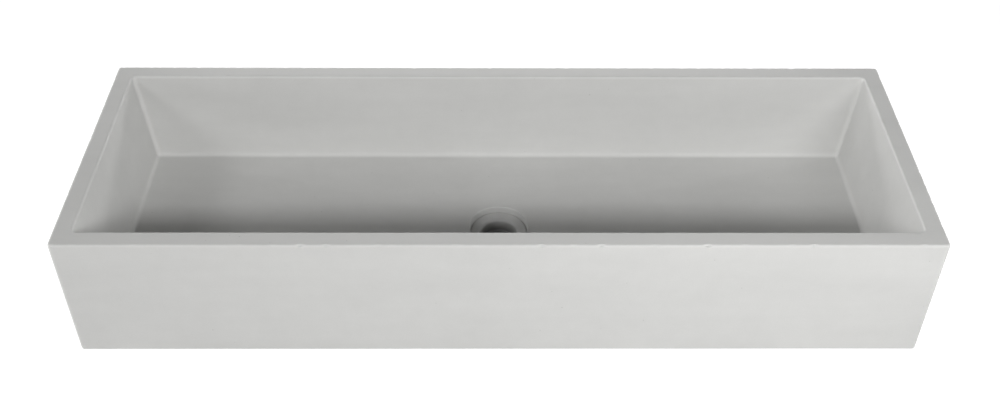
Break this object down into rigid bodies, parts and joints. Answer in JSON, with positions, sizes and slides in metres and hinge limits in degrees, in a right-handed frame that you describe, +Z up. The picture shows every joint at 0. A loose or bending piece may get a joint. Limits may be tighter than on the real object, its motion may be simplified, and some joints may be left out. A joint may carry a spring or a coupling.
{
  "type": "trough sink",
  "caption": "Long rectangular cast concrete trough basin with thin walls, a floor that falls to a recessed centre outlet, and a clamped threaded waste under it.",
  "frame": {"origin": "centre of the basin's underside, in the plane that it stands on, on the outlet's axis", "axes": "+X along the basin's length, to the right from the front; +Y from the front to the back face, towards the wall; +Z up"},
  "size_m": [0.914, 0.313, 0.157],
  "materials": {
    "concrete": "smooth cast concrete, sealed and matt, light grey with faint mottling",
    "coated_metal": "matt baked coat in the basin's grey on the flange and in the throat, the threaded barrel bare",
    "seal": "soft, matt, in the basin's grey",
    "rubber": "moulded, matt black",
    "fibre": "pressed fibre, red-brown",
    "brass": "as machined"
  },
  "bodies": {
    "root": {"basin": "concrete", "waste_body": "coated_metal", "flange_seal": "seal", "deck_seal": "rubber", "slip_washer": "fibre", "lock_nut": "brass"}
  },
  "joints": []
}
